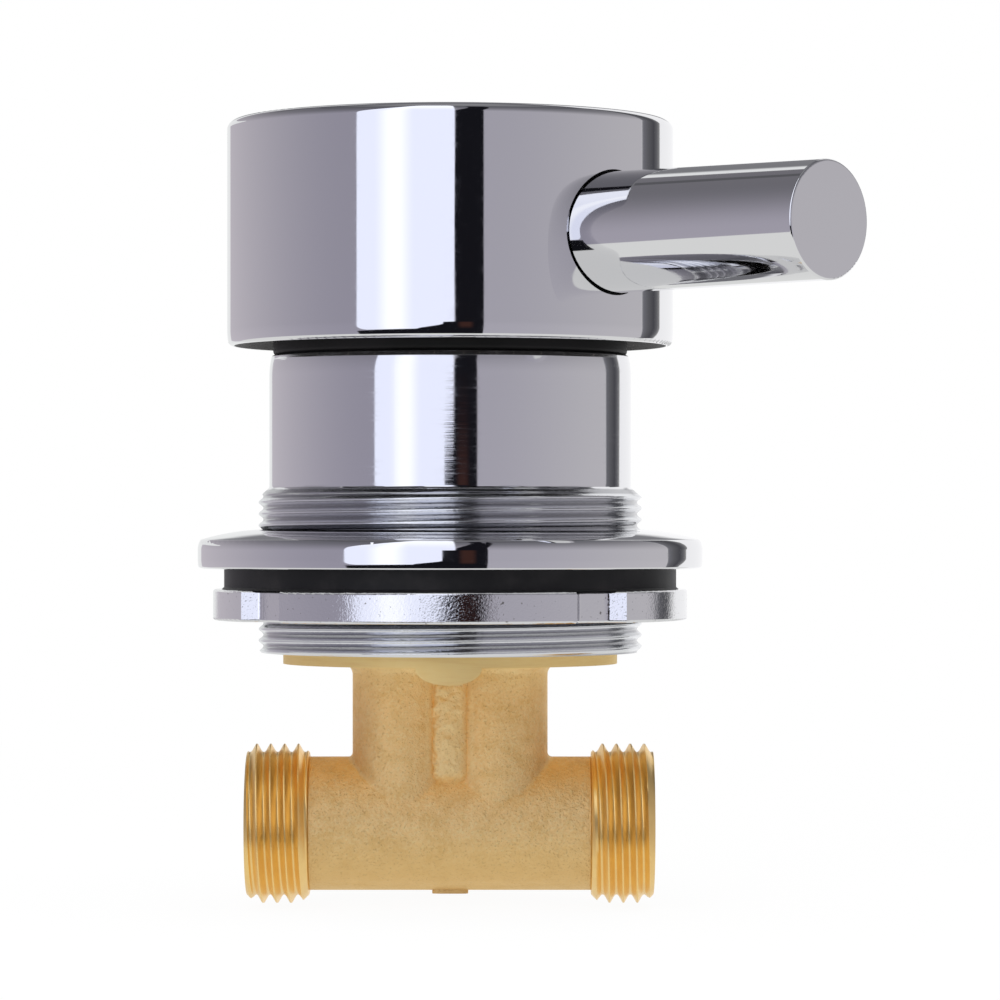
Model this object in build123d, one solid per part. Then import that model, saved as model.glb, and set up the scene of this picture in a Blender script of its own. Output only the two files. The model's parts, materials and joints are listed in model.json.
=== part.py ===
from build123d import *
import os
from math import cos, radians, sin, sqrt, tan

# Single-lever mixing valve that is clamped in a panel. Millimetres.
# The origin is on the valve's axis, in the plane of the flange's back face. +Z points to the handle.
# -Y is the valve's front, and the lever's middle position points that way.

# Chrome sleeve
sleeve_wall = 3.2
sleeve_thread_step = 1.4          # the thread's crests stand this far proud of the plain part
sleeve_thread_length = 21.45
sleeve_drop = 10.95               # lower end, below the flange's back face
sleeve_edge_round = 1.1
thread_fade = 1.2                 # length of the cone where the thread runs out

# Flange ring, gasket and lock nut on the sleeve's thread
thread_play = 0.03
flange_width = 7.9
flange_rim = 3.75                 # level of the edge between the rim and the domed face
flange_dome = 1.3                 # rise of the domed face from that edge to the thread
flange_dome_radius = 32.0
rim_bulge_radius = 2.2            # the rim's upper half curves in towards the edge
rim_bulge_angle = 35.0
flange_edge_round = 0.2
flange_back_round = 0.9
gasket_bore_play = 0.3
gasket_width = 4.2
gasket_thickness = 2.4
gasket_lip = 0.3                  # flared lip on the gasket's lower edge
lock_nut_width = 5.9
lock_nut_height = 4.0
lock_nut_slots = 4
slot_mouth = 8.7
slot_floor = 4.6
slot_depth = 2.1
slot_corner_round = 1.0
slot_angle = -6.0                 # turn of the lock nut's slots about the valve's axis
lobe_edge_round = 0.35

# Brass casting
cup_wall = 1.4                    # brass wall round the cartridge's base
cup_depth = 8.0
spigot_lip = 1.45                 # brass that shows below the sleeve
spigot_floor = 6.4                # from the spigot's underside to the cartridge's seat
rib_width = 8.4
rib_depth = 2.2
pillar_radius = 6.5
pillar_spread = 6.2               # each front pillar's axis, left and right of the middle
pillar_forward = 1.6
outlet_pillar_radius = 6.0
outlet_pillar_back = 8.0
valley_round = 3.4                # hollow round between two pillars
pillar_head_round = 1.4           # where the pillars meet the spigot's underside
crease_round = 0.8                # where the pillars and the tubes meet
tube_drop = 20.9                  # the cross tube's axis, below the spigot's underside
tube_radius = 8.7
port_thread_radius = 10.4
port_thread_length = 8.1
port_chamfer = 1.1
port_reach = 26.5                 # from the valve's axis to each threaded end
port_bore_radius = 6.5
inlet_wall = 9.0                  # solid brass between the two inlet bores
outlet_bore_start = 8.6           # blind end of the outlet's bore, behind the valve's axis
passage_radius = 3.8
gate_width = 7.2                  # stub of the casting's gate, under the cross tube
gate_length = 9.0
gate_height = 0.4
gate_corner = 1.8

# Seal between casting and sleeve
seal_section = 0.95               # radius of the rubber ring's section
seal_rise = 2.0                   # the ring's middle, above the sleeve's lower end
seal_squeeze_gap = 0.02

# Cartridge
cartridge_radius = 20.2
cartridge_play = 0.2
shell_wall = 2.4
shell_play = 0.2
shell_roof = 2.4
collar_wall = 1.95
collar_height = 2.6
base_height = 5.5                 # from the casting's seat to the fixed disc
base_plug = 1.5                   # the base's upper part, which the shell slips over
peg_radius = 1.5
peg_length = 3.0
peg_inset = 4.7                   # from the base's edge in to the pegs' axes
peg_angle = 45.0
peg_play = 0.1
port_seal_wall = 1.8
port_seal_height = 2.2
fixed_disc_play = 1.3             # between the disc's edge and the shell
fixed_disc_thickness = 3.5
moving_disc_play = 4.0            # room for the moving disc to slide in the shell
moving_disc_thickness = 3.5
kidney_circle = 8.2
kidney_width = 4.4
kidney_start = 33.0
kidney_sweep = 14.0
outlet_sweep = 50.0
chamber_depth = 2.2
chamber_radius = 4.8
chamber_sweep = 112.0
coupler_inset = 0.4               # from the moving disc's edge in to the coupler's
coupler_plate = 2.5
coupler_floor = 0.8
boss_length = 15.0
boss_width = 11.0
boss_height = 3.0
slide_gap = 0.4
channel_play = 0.15

# Stem, its pin and the rotor that carries them
lift_angle = 25.0
stem_arm = 8.7                    # from the ball's centre up to the pin
ball_radius = 2.7
ball_gap = 0.3
ball_play = 0.15
stem_neck_radius = 2.0
stem_thickness = 7.0
stem_width = 8.0
stem_flat_drop = 3.5              # lower end of the stem's flat part, below the pin
stem_rise = 31.0                  # upper end, above the pin
stem_chamfer = 0.6
stem_head_gap = 4.0               # from the rotor's top to the stem's square head
pin_radius = 1.5
pin_inset = 4.5                   # from the rotor's side in to the pin's end
pin_play = 0.05
rotor_cover = 2.0                 # rotor material above the pin, up to its shoulder
rotor_neck_radius = 11.8
rotor_neck_height = 6.0
rotor_play = 0.05
shoulder_play = 0.3
stem_slot_play = 0.15
slip_ring_thickness = 0.6

# Retaining nut and dust cover
nut_thread_depth = 1.1
nut_grip = 3.2
nut_recess = 0.5
hexagon_step = 3.5                # from the nut's thread in to its flats
hexagon_height = 2.4
cover_height = 3.7
cover_wall = 2.1
cover_lip_width = 6.5
cover_lip_thickness = 1.2
cover_edge_round = 0.6
cover_inset = 0.5

# Handle cap
cap_gap = 1.3                     # from the sleeve's top to the cap's rim
cap_side_gap = 2.7                # from the sleeve's side out to the inside of the cap
cap_wall = 2.8
cap_height = 29.3
cap_roof = 3.0
cap_edge_round = 1.2
cap_rim_round = 0.25
cap_mouth_chamfer = 1.9           # the wall thins to an edge at the rim
hub_radius = 8.5
hub_drop = 6.6                    # lower end of the hub, below the lever's axis
socket_play = 0.05
socket_spare = 0.5
lever_level = 13.6                # the lever's axis, above the cap's rim
lever_boss_radius = 6.5
lever_seat_depth = 0.3
lever_seat_play = 0.25

# Lever, stud and grub screw
lever_turn = 46.5                 # the lever at rest, turned to the right from the valve's front
lever_length = 34.8               # beyond the cap's side
lever_base_radius = 7.7
lever_tip_radius = 7.35
lever_edge_round = 0.3
stud_radius = 3.0
stud_in_lever = 11.0
stud_in_cap = 13.0
stud_play = 0.03
stud_hole_spare = 1.0
grub_length = 6.0
grub_socket_flats = 3.0
grub_socket_depth = 3.0

# Levels and radii that follow from the sizes above
bore_radius = cartridge_radius + cartridge_play
spigot_radius = bore_radius + cup_wall
sleeve_radius = bore_radius + sleeve_wall
sleeve_thread_radius = sleeve_radius + sleeve_thread_step
flange_bore = sleeve_thread_radius + thread_play
flange_radius = flange_bore + flange_width
gasket_bore = sleeve_thread_radius + gasket_bore_play
gasket_radius = gasket_bore + gasket_width
lock_nut_top = -(gasket_thickness + gasket_lip)

sleeve_bottom = -sleeve_drop
spigot_bottom = sleeve_bottom - spigot_lip
seat_level = spigot_bottom + spigot_floor
cup_top = seat_level + cup_depth
tube_level = spigot_bottom - tube_drop

fixed_disc_bottom = seat_level + base_height
moving_disc_bottom = fixed_disc_bottom + fixed_disc_thickness
coupler_bottom = moving_disc_bottom + moving_disc_thickness
plate_top = coupler_bottom + coupler_plate
boss_top = plate_top + boss_height
ball_level = coupler_bottom + coupler_floor + ball_gap + ball_radius
pivot_height = ball_level + stem_arm
base_step = fixed_disc_bottom - base_plug

rotor_bottom = plate_top + slide_gap
channel_top = boss_top + slide_gap
shoulder_level = pivot_height + rotor_cover
neck_top = shoulder_level + rotor_neck_height
shell_ceiling = shoulder_level + slip_ring_thickness
shell_top = shell_ceiling + shell_roof
shell_inner_radius = cartridge_radius - shell_wall
fixed_disc_radius = shell_inner_radius - fixed_disc_play
moving_disc_radius = shell_inner_radius - moving_disc_play
coupler_radius = moving_disc_radius - coupler_inset
rotor_radius = shell_inner_radius - shoulder_play
pin_half_length = rotor_radius - pin_inset
peg_circle = cartridge_radius - peg_inset
collar_radius = rotor_neck_radius + rotor_play + collar_wall
disc_travel = stem_arm * sin(radians(lift_angle))

nut_radius = bore_radius + nut_thread_depth
nut_shoulder = shell_top + nut_grip
hexagon_flats = 2 * (nut_radius - hexagon_step)
sleeve_top = nut_shoulder + nut_recess
cover_radius = sleeve_radius - cover_inset
cover_lip_inner = cover_radius - cover_lip_width
cover_top = sleeve_top + cover_height
stem_top = pivot_height + stem_rise
head_level = neck_top + stem_head_gap

cap_inner_radius = sleeve_radius + cap_side_gap
cap_radius = cap_inner_radius + cap_wall
cap_bottom = sleeve_top + cap_gap
cap_top = cap_bottom + cap_height
ceiling_level = cap_top - cap_roof
lever_axis = cap_bottom + lever_level
hub_bottom = lever_axis - hub_drop
seat_radius = lever_base_radius + lever_seat_play
lever_seat = sqrt(cap_radius**2 - seat_radius**2) - lever_seat_depth
lever_tip = cap_radius + lever_length
level_tolerance = 0.01            # edges this near to a level count as lying in it


def ring(inner, outer, bottom, top):
    return cylinder(outer, bottom, top) - cylinder(inner, bottom, top)


def cylinder(radius, bottom, top, x=0, y=0):
    return Pos(x, y, bottom) * Cylinder(radius, top - bottom, align=(Align.CENTER, Align.CENTER, Align.MIN))


def lathe(outline):
    # turns an outline, drawn as radius and height, about the valve's axis
    return revolve(Plane.XZ * make_face(outline), Axis.Z)


def along_x(radius, start, end, y=0, z=0):
    rod = Cylinder(radius, end - start, align=(Align.CENTER, Align.CENTER, Align.MIN))
    return Pos(start, y, z) * Rot(0, 90, 0) * rod


def block(start, end):
    size = [end[i] - start[i] for i in range(3)]
    return Pos(*start) * Box(*size, align=(Align.MIN, Align.MIN, Align.MIN))


def with_lever(shape):
    # pieces of the handle are drawn with the lever along +X, then turned to its place at rest
    return Rot(0, 0, lever_turn - 90) * shape


def round_edges(shape, radius, level, reach=0):
    # rounds the circular edges that lie flat at a level and are wider than a reach
    circles = []
    for edge in shape.edges().filter_by(GeomType.CIRCLE):
        box = edge.bounding_box()
        if max(abs(box.max.Z - level), abs(box.min.Z - level)) < level_tolerance and edge.radius > reach:
            circles.append(edge)
    return fillet(circles, radius)


# The sleeve and what is screwed on it

def sleeve():
    thread_top = sleeve_bottom + sleeve_thread_length
    end_chamfer = sleeve_thread_step / 2
    outside = Polyline(
        (0, sleeve_bottom),
        (sleeve_thread_radius - end_chamfer, sleeve_bottom),
        (sleeve_thread_radius, sleeve_bottom + end_chamfer),
        (sleeve_thread_radius, thread_top - thread_fade),
        (sleeve_radius, thread_top),
        (sleeve_radius, sleeve_top),
        (0, sleeve_top),
        close=True,
    )
    body = round_edges(lathe(outside), sleeve_edge_round, sleeve_top)
    body -= cylinder(bore_radius, sleeve_bottom, sleeve_top)
    body -= cylinder(spigot_radius, sleeve_bottom, cup_top)
    return body - cylinder(nut_radius, shell_top, sleeve_top)


def sleeve_seal():
    middle = spigot_radius - seal_section - seal_squeeze_gap
    return Pos(0, 0, sleeve_bottom + seal_rise) * Torus(middle, seal_section)


def flange_ring():
    lean = radians(rim_bulge_angle)
    crown = (flange_bore, flange_rim + flange_dome)
    side_top = (flange_radius, flange_rim - rim_bulge_radius * sin(lean))
    edge = (flange_radius - rim_bulge_radius * (1 - cos(lean)), flange_rim)
    side = Polyline(crown, (flange_bore, 0), (flange_radius, 0), side_top)
    bulge = RadiusArc(side_top, edge, -rim_bulge_radius)
    flange = lathe(side + bulge + RadiusArc(edge, crown, -flange_dome_radius))
    flange = round_edges(flange, flange_edge_round, flange_rim, flange_bore)
    return round_edges(flange, flange_back_round, 0, flange_bore)


def panel_gasket():
    lip_radius = gasket_radius + gasket_lip
    outline = Polyline(
        (gasket_bore, 0), (gasket_radius, 0), (gasket_radius, -gasket_thickness), (lip_radius, lock_nut_top),
        (gasket_bore, lock_nut_top), close=True,
    )
    return lathe(outline)


def lock_nut():
    outer = flange_bore + lock_nut_width
    nut_bottom = lock_nut_top - lock_nut_height
    body = cylinder(outer, nut_bottom, lock_nut_top)
    floor = outer - slot_depth
    past = outer + slot_depth
    spread = (slot_mouth - slot_floor) / 2
    half = slot_floor / 2
    slot = make_face(Polyline(
        (floor, -half), (past, -half - 2 * spread), (past, half + 2 * spread), (floor, half), close=True,
    ))
    slot = fillet(slot.vertices().group_by(Axis.X)[0], slot_corner_round)
    cutter = extrude(slot, lock_nut_height)
    step = 360 / lock_nut_slots
    for index in range(lock_nut_slots):
        body -= Rot(0, 0, slot_angle - step / 2 + index * step) * Pos(0, 0, nut_bottom) * cutter
    for level in (nut_bottom, lock_nut_top):
        body = round_edges(body, lobe_edge_round, level)
    return body - cylinder(flange_bore, nut_bottom, lock_nut_top)


# The brass casting

def port_end():
    # one threaded end, drawn along +X with its mouth at the port's reach
    thread = along_x(port_thread_radius, port_reach - port_thread_length, port_reach)
    return Pos(0, 0, tube_level) * chamfer(thread.edges().filter_by(GeomType.CIRCLE), port_chamfer)


def pillars():
    # three pillars in one trunk, with hollow rounds between them. Each circle's seam faces inwards.
    plan = Pos(0, outlet_pillar_back) * Rot(0, 0, -90) * Circle(outlet_pillar_radius)
    plan += Pos(-pillar_spread, -pillar_forward) * Circle(pillar_radius)
    plan += Pos(pillar_spread, -pillar_forward) * Rot(0, 0, 180) * Circle(pillar_radius)
    plan += make_face(Polyline(*port_places(), close=True))
    plan = fillet(plan.vertices(), valley_round)
    return Pos(0, 0, tube_level) * extrude(plan, spigot_bottom - tube_level)


def tubes():
    reach = port_reach - port_thread_length
    branch = Rot(0, 0, 90) * along_x(tube_radius, 0, reach, z=tube_level)
    return along_x(tube_radius, -reach, reach, z=tube_level) + branch


def raw_casting():
    # what the mould gives: trunk, tubes and spigot, with rounds where they meet
    casting = pillars() + tubes() + cylinder(spigot_radius, spigot_bottom, cup_top)
    heads = []
    creases = []
    for edge in casting.edges():
        box = edge.bounding_box()
        if abs(box.max.Z - spigot_bottom) < level_tolerance and box.max.X < spigot_radius - pillar_head_round:
            heads.append(edge)
        elif box.max.Z < spigot_bottom - pillar_head_round and edge.geom_type != GeomType.CIRCLE:
            creases.append(edge)
    return fillet(creases, crease_round).fillet(pillar_head_round, heads)


def front_rib():
    # half an ellipse in section, from the pillars out to the spigot's turned edge
    section = Plane.XZ * Pos(0, spigot_bottom) * Ellipse(rib_width / 2, rib_depth)
    return extrude(section, spigot_radius) & cylinder(spigot_radius, spigot_bottom - rib_depth, spigot_bottom)


def gate_stub():
    stub = extrude(RectangleRounded(gate_width, gate_length, gate_corner), tube_radius / 2)
    return Pos(0, 0, tube_level - tube_radius - gate_height) * stub


def seal_groove():
    half = seal_section + seal_squeeze_gap
    middle = sleeve_bottom + seal_rise
    return ring(spigot_radius - 2 * half, spigot_radius + half, middle - half, middle + half)


def brass_body():
    casting = raw_casting() + front_rib() + gate_stub()
    for turn in (0, 90, 180):
        casting += Rot(0, 0, turn) * port_end()
    casting -= cylinder(bore_radius, seat_level, cup_top)
    casting -= seal_groove()
    for x, y in port_places():
        casting -= cylinder(passage_radius, tube_level, seat_level, x, y)
    for turn in (0, 180):
        casting -= Rot(0, 0, turn) * along_x(port_bore_radius, inlet_wall / 2, port_reach, z=tube_level)
    casting -= Rot(0, 0, 90) * along_x(port_bore_radius, outlet_bore_start, port_reach, z=tube_level)
    for x, y in peg_places():
        casting -= cylinder(peg_radius + peg_play, seat_level - peg_length - peg_play, seat_level, x, y)
    return casting


def port_places():
    # the two inlets and the outlet, as seen from above
    return [(-pillar_spread, -pillar_forward), (pillar_spread, -pillar_forward), (0, outlet_pillar_back)]


def peg_places():
    angles = (-90 - peg_angle, -90 + peg_angle)
    return [(peg_circle * cos(radians(angle)), peg_circle * sin(radians(angle))) for angle in angles]


# The cartridge

def kidneys():
    # the two inlet kidneys and the longer outlet one, as seen from above
    arcs = (
        (-90 - kidney_start - kidney_sweep, kidney_sweep),
        (-90 + kidney_start, kidney_sweep),
        (90 - outlet_sweep / 2, outlet_sweep),
    )
    return [SlotArc(CenterArc((0, 0), kidney_circle, start, sweep), kidney_width) for start, sweep in arcs]


def cartridge_base():
    base = cylinder(cartridge_radius, seat_level, base_step)
    base += cylinder(shell_inner_radius - shell_play, base_step, fixed_disc_bottom)
    pocket = (fixed_disc_bottom - seat_level) / 2
    for x, y in port_places():
        base -= cylinder(passage_radius, seat_level, fixed_disc_bottom, x, y)
        base -= cylinder(passage_radius + port_seal_wall, seat_level, seat_level + port_seal_height, x, y)
    for kidney in kidneys():
        base -= Pos(0, 0, fixed_disc_bottom - pocket) * extrude(kidney, pocket)
    for x, y in peg_places():
        base += cylinder(peg_radius, seat_level - peg_length, seat_level, x, y)
    return base


def port_seals():
    seal = ring(passage_radius, passage_radius + port_seal_wall, seat_level, seat_level + port_seal_height)
    return Compound(children=[Pos(x, y) * seal for x, y in port_places()])


def fixed_disc():
    disc = cylinder(fixed_disc_radius, fixed_disc_bottom, moving_disc_bottom)
    for kidney in kidneys():
        disc -= Pos(0, 0, fixed_disc_bottom) * extrude(kidney, fixed_disc_thickness)
    return disc


def moving_disc():
    # closed: the chamber covers the outlet and neither inlet
    offset = -disc_travel / 2
    disc = cylinder(moving_disc_radius, moving_disc_bottom, coupler_bottom, offset)
    chamber = Circle(chamber_radius)
    chamber += SlotArc(CenterArc((0, 0), kidney_circle, 180 - chamber_sweep / 2, chamber_sweep), kidney_width)
    spoke = Pos(-kidney_circle / 2, 0) * Rectangle(kidney_circle, chamber_radius * 2)
    return disc - Pos(0, 0, moving_disc_bottom) * extrude(chamber + spoke, chamber_depth)


def disc_coupler():
    plate = cylinder(coupler_radius, coupler_bottom, plate_top, -disc_travel / 2)
    length, width = boss_length / 2, boss_width / 2
    plate += block((-length, -width, plate_top), (length, width, boss_top))
    return plate - cylinder(ball_radius + ball_play, coupler_bottom + coupler_floor, boss_top)


def stem_guide():
    rotor = cylinder(rotor_radius, rotor_bottom, shoulder_level)
    rotor += cylinder(rotor_neck_radius, shoulder_level, neck_top)
    side = boss_width / 2 + channel_play
    rotor -= block((-boss_length / 2 - slide_gap, -side, rotor_bottom),
                   (boss_length / 2 + disc_travel + slide_gap, side, channel_top))
    lean = tan(radians(lift_angle))
    half = stem_thickness / 2 / cos(radians(lift_angle)) + stem_slot_play
    back = (neck_top - pivot_height) * lean + half
    front = (pivot_height - channel_top) * lean + half
    side = stem_width / 2 + stem_slot_play
    rotor -= block((-back, -side, channel_top), (front, side, neck_top))
    return rotor - pin_bar(pin_radius)


def pin_bar(radius):
    return Rot(0, 0, 90) * along_x(radius, -pin_half_length, pin_half_length, z=pivot_height)


def stem_pin():
    return pin_bar(pin_radius)


def stem():
    flat_bottom = pivot_height - stem_flat_drop
    half_width = stem_width / 2
    half = stem_thickness / 2
    body = block((-half, -half_width, flat_bottom), (half, half_width, head_level))
    body += block((-half_width, -half_width, head_level), (half_width, half_width, stem_top))
    body += cylinder(stem_neck_radius, ball_level, flat_bottom)
    body += Pos(0, 0, ball_level) * Sphere(ball_radius)
    body = chamfer(body.edges().filter_by(Plane.XY).group_by(Axis.Z)[-1], stem_chamfer)
    return body - pin_bar(pin_radius + pin_play)


def slip_ring():
    inner = rotor_neck_radius + shoulder_play
    return ring(inner, rotor_radius, shoulder_level, shell_ceiling)


def cartridge_housing():
    shell = cylinder(cartridge_radius, base_step, shell_top)
    shell += cylinder(collar_radius, shell_top, shell_top + collar_height)
    shell -= cylinder(shell_inner_radius, base_step, shell_ceiling)
    return shell - cylinder(rotor_neck_radius + rotor_play, shell_ceiling, shell_top + collar_height)


def retaining_nut():
    nut = cylinder(nut_radius - thread_play, shell_top, nut_shoulder)
    hexagon = RegularPolygon(hexagon_flats / 2, 6, major_radius=False)
    nut += Pos(0, 0, nut_shoulder) * extrude(hexagon, hexagon_height)
    return nut - cylinder(collar_radius + cartridge_play, shell_top, nut_shoulder + hexagon_height)


def dust_cover():
    body = cylinder(cover_radius, sleeve_top, cover_top)
    body = fillet(body.edges().filter_by(GeomType.CIRCLE), cover_edge_round)
    body -= cylinder(cover_radius - cover_wall, sleeve_top, cover_top - cover_lip_thickness)
    return body - cylinder(cover_lip_inner, sleeve_top, cover_top)


# The handle

def handle_cap():
    cap = cylinder(cap_radius, cap_bottom, cap_top)
    cap = round_edges(round_edges(cap, cap_edge_round, cap_top), cap_rim_round, cap_bottom)
    cap -= cylinder(cap_inner_radius, cap_bottom, ceiling_level)
    mouth = Cone(cap_inner_radius + cap_mouth_chamfer, cap_inner_radius, cap_mouth_chamfer,
                 align=(Align.CENTER, Align.CENTER, Align.MIN))
    cap -= Pos(0, 0, cap_bottom) * mouth
    cap += cylinder(hub_radius, hub_bottom, ceiling_level)
    cap += along_x(lever_boss_radius, 0, cap_inner_radius + cap_wall / 2, z=lever_axis)
    cap -= along_x(seat_radius, lever_seat, cap_radius + 1, z=lever_axis)
    cap -= along_x(stud_radius + stud_play, 0, cap_radius, z=lever_axis)
    half = stem_width / 2 + socket_play
    return cap - block((-half, -half, hub_bottom), (half, half, stem_top + socket_spare))


def lever_bar():
    length = lever_tip - lever_seat
    bar = Cone(lever_base_radius, lever_tip_radius, length, align=(Align.CENTER, Align.CENTER, Align.MIN))
    bar = round_edges(bar, lever_edge_round, length)
    bar -= cylinder(stud_radius + stud_play, 0, stud_in_lever + stud_hole_spare)
    return Pos(lever_seat, 0, lever_axis) * Rot(0, 90, 0) * bar


def lever_stud():
    return along_x(stud_radius, lever_seat - stud_in_cap, lever_seat + stud_in_lever, z=lever_axis)


def grub_screw():
    tip = stem_width / 2
    screw = along_x(stud_radius, tip, tip + grub_length, z=lever_axis)
    key = extrude(RegularPolygon(grub_socket_flats / 2, 6, major_radius=False), grub_socket_depth)
    return screw - Pos(tip + grub_length - grub_socket_depth, 0, lever_axis) * Rot(0, 90, 0) * key


# What stays put, and what is drawn with the lever along +X

fixed_pieces = {
    "sleeve": sleeve,
    "sleeve_seal": sleeve_seal,
    "flange_ring": flange_ring,
    "panel_gasket": panel_gasket,
    "lock_nut": lock_nut,
    "brass_body": brass_body,
    "cartridge_base": cartridge_base,
    "port_seals": port_seals,
    "fixed_disc": fixed_disc,
    "cartridge_housing": cartridge_housing,
    "slip_ring": slip_ring,
    "retaining_nut": retaining_nut,
    "dust_cover": dust_cover,
}
turned_pieces = {
    "stem_guide": stem_guide,
    "stem_pin": stem_pin,
    "disc_coupler": disc_coupler,
    "moving_disc": moving_disc,
    "stem": stem,
    "handle_cap": handle_cap,
    "lever_bar": lever_bar,
    "lever_stud": lever_stud,
    "grub_screw": grub_screw,
}


def main():
    os.makedirs("parts", exist_ok=True)
    for name, make in fixed_pieces.items():
        export_step(make(), f"parts/{name}.step")
    for name, make in turned_pieces.items():
        export_step(with_lever(make()), f"parts/{name}.step")


main()
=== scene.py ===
import json
import math

import bpy
from mathutils import Matrix, Vector


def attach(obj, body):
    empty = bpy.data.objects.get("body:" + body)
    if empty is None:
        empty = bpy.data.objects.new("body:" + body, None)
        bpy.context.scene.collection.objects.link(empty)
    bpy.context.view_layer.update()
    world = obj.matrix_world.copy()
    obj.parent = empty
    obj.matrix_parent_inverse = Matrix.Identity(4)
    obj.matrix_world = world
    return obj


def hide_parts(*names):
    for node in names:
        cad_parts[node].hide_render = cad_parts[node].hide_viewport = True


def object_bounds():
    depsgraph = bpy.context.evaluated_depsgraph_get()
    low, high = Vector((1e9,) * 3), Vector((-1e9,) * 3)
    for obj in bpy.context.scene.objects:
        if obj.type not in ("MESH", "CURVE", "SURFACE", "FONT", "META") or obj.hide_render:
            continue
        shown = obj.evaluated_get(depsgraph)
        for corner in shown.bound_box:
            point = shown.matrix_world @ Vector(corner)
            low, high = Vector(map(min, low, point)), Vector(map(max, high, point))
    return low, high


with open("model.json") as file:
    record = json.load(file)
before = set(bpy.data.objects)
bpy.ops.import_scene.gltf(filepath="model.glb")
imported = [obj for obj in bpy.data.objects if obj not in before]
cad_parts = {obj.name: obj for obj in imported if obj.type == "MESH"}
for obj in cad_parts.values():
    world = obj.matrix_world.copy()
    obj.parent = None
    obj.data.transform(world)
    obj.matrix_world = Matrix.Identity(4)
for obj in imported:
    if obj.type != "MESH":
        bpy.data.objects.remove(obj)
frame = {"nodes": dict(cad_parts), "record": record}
nodes = frame["nodes"]
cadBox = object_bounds()
mm = 0.001
print("frame loaded:", len(nodes), "nodes")


# Shader maths

class Shade:
    # One output socket of a shader tree. An expression on it adds its Math nodes.
    def __init__(self, tree, socket=None):
        self.tree = tree
        self.socket = socket

    def add(self, kind, settings=None, sockets=None, output=0):
        # adds any node: its settings first, then the values or links of its sockets
        node = self.tree.nodes.new(kind)
        for name, value in (settings or {}).items():
            if name == "stops":
                fillRamp(node.color_ramp, value)
            else:
                setattr(node, name, value)
        for name, value in (sockets or {}).items():
            if isinstance(value, Shade):
                self.tree.links.new(value.socket, node.inputs[name])
            else:
                node.inputs[name].default_value = value
        return Shade(self.tree, node.outputs[output]) if len(node.outputs) else None

    def maths(self, operation, other=0.0):
        return self.add("ShaderNodeMath", {"operation": operation}, {0: self, 1: other})

    def __add__(self, other):
        return self.maths("ADD", other)

    def __sub__(self, other):
        return self.maths("SUBTRACT", other)

    def __rsub__(self, other):
        return self.add("ShaderNodeMath", {"operation": "SUBTRACT"}, {0: other, 1: self})

    def __mul__(self, other):
        return self.maths("MULTIPLY", other)

    def __neg__(self):
        return self.maths("MULTIPLY", -1.0)

    __radd__ = __add__
    __rmul__ = __mul__

    def rise(self, start, end):
        # 0 before start, 1 after end, smooth in between
        return self.add("ShaderNodeMapRange", {"interpolation_type": "SMOOTHSTEP"},
                        {"Value": self, "From Min": start, "From Max": end})

    def edge(self, place, soft):
        # 0 below a value and 1 above it, with a soft step
        return self.rise(place - soft, place + soft)

    def band(self, low, high, soft):
        # 1 between two values, with soft ends
        return self.edge(low, soft) * (1 - self.edge(high, soft))

    def mix(self, first, second):
        # the first colour where self is 0, the second where it is 1
        return self.add("ShaderNodeMix", {"data_type": "RGBA"}, {0: self, 6: first, 7: second}, 2)

    def noise(self, scale, detail=2.0, rough=0.5):
        return self.add("ShaderNodeTexNoise", {}, {
            "Vector": self, "Scale": scale, "Detail": detail, "Roughness": rough})

    def streaks(self, scales, detail, rough):
        # a noise with its own scale on each axis
        place = self.add("ShaderNodeMapping", {}, {"Vector": self, "Scale": scales})
        return place.noise(1.0, detail, rough)

    def part(self, axis):
        return self.add("ShaderNodeSeparateXYZ", {}, {"Vector": self}, axis)

    def fromAxis(self):
        # distance from the valve's own axis
        flat = self.add("ShaderNodeCombineXYZ", {}, {0: self.part(0), 1: self.part(1), 2: 0.0})
        return flat.length()

    def length(self):
        return self.add("ShaderNodeVectorMath", {"operation": "LENGTH"}, {0: self}, "Value")

    def bump(self, distance, under=None):
        sockets = {"Height": self, "Distance": distance}
        if under is not None:
            sockets["Normal"] = under
        return self.add("ShaderNodeBump", {}, sockets)


def fillRamp(ramp, stops):
    while len(ramp.elements) > 1:
        ramp.elements.remove(ramp.elements[-1])
    ramp.elements[0].position, ramp.elements[0].color = stops[0]
    for position, colour in stops[1:]:
        ramp.elements.new(position).color = colour


def startMaterial(name):
    material = bpy.data.materials.new(name)
    material.use_nodes = True
    material.node_tree.nodes.clear()
    return material, Shade(material.node_tree).add("ShaderNodeTexCoord", output="Object")


def endMaterial(material, place, sockets):
    surface = place.add("ShaderNodeBsdfPrincipled", {}, sockets)
    place.add("ShaderNodeOutputMaterial", {}, {"Surface": surface})
    return material


# The camera stands level in front of the valve, as in the photograph

cameraPlace = {
    "side": 6.5 * mm,
    "distance": 588 * mm,
    "height": 5.65 * mm,
    "lens": 162,
    "sensor": 36,
    "shiftUp": 0.025,
    "nearest": 0.05,          # metres
    "farthest": 50,
}


def addCamera():
    data = bpy.data.cameras.new("camera")
    data.lens = cameraPlace["lens"]
    data.sensor_width = cameraPlace["sensor"]
    data.shift_y = cameraPlace["shiftUp"]
    data.clip_start = cameraPlace["nearest"]
    data.clip_end = cameraPlace["farthest"]
    camera = bpy.data.objects.new("camera", data)
    camera.location = (cameraPlace["side"], -cameraPlace["distance"], cameraPlace["height"])
    camera.rotation_euler = (math.radians(90), 0, 0)
    bpy.context.scene.collection.objects.link(camera)
    bpy.context.scene.camera = camera


addCamera()
bpy.context.scene.view_settings.view_transform = "Standard"
print("camera placed")


# The studio: what the metal reflects, the floor and the lamps

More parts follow.
